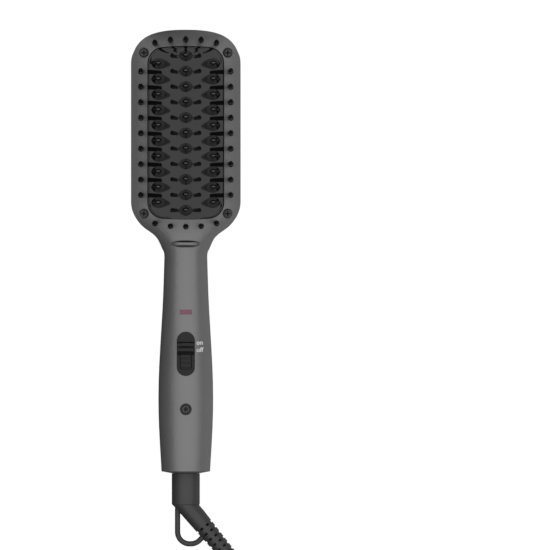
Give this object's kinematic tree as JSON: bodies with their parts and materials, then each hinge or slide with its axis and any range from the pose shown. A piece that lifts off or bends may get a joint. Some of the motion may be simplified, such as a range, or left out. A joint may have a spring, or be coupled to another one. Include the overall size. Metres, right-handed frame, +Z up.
{
  "type": "hair straightener brush",
  "caption": "Heated straightening brush with a domed plate, heated teeth, guard bristles, slide switch and swivel lead with a hanging loop.",
  "frame": {"origin": "centre of the footprint of the brush without its boot and lead, on the table", "axes": "+Z up, the way the bristles point; +Y along the handle to the head's nose; +X right as seen from the front"},
  "size_m": [0.1102, 0.4808, 0.0478],
  "materials": {
    "body": "satin grey moulded shell",
    "plate": "glossy dark ceramic coat on die-cast aluminium",
    "tooth": "heat-proof black",
    "bristle": "black nylon",
    "steel": "zinc-plated",
    "dark_steel": "blackened screw",
    "lens": "dark red translucent window",
    "switch": "black, lightly textured",
    "board": "green circuit board",
    "parts": "black component bodies",
    "led": "red diffused lamp",
    "film": "amber polyimide film",
    "aluminium": "bare strip",
    "ceramic": "white heating stone",
    "shield": "pale mica-filled tray",
    "nylon": "natural nylon",
    "brass": "turned brass",
    "wire": "silicone-insulated wire",
    "rubber": "matt dark grey soft vinyl",
    "pin": "nickel-plated brass"
  },
  "bodies": {
    "housing": {"front_housing": "body", "rear_housing": "body", "heater_plate": "plate", "teeth_centre": "tooth", "teeth_side": "tooth", "plate_bristles": "bristle", "rim_bristles": "bristle", "end_bristles": "bristle", "corner_screws": "dark_steel", "handle_screw": "steel", "indicator_lens": "lens", "indicator_led": "led", "switch_bezel": "switch", "slide_switch": "parts", "circuit_board": "board", "board_parts": "parts", "heater_film": "film", "heater_electrodes": "aluminium", "ptc_heaters": "ceramic", "heater_clamp": "steel", "clamp_screws": "steel", "thermal_fuse": "steel", "thermistor": "ceramic", "heat_shield": "shield", "swivel_bush": "nylon", "slip_holder": "nylon", "slip_springs": "brass", "mains_wires": "wire", "heater_wires": "wire", "sensor_wires": "wire", "power_cord": "rubber", "cord_coil": "rubber", "cord_tie": "rubber", "cord_tail": "rubber", "plug_body": "rubber", "plug_pins": "pin"},
    "switch": {"switch_slider": "switch", "switch_lever": "nylon"},
    "swivel": {"swivel_barrel": "body", "slip_rings": "brass", "swivel_boot": "rubber"}
  },
  "joints": [
    {"name": "switch_slide", "type": "slide", "parent": "housing", "child": "switch", "axis": [0, 0.9967, -0.0809], "range_m": [0, 0.0045]},
    {"name": "cord_swivel", "type": "hinge", "parent": "housing", "child": "swivel", "pos_m": [0, -0.12537, 0.01597], "axis": [0, -0.9999, 0.0161], "continuous": true, "deforming": ["power_cord"]}
  ]
}
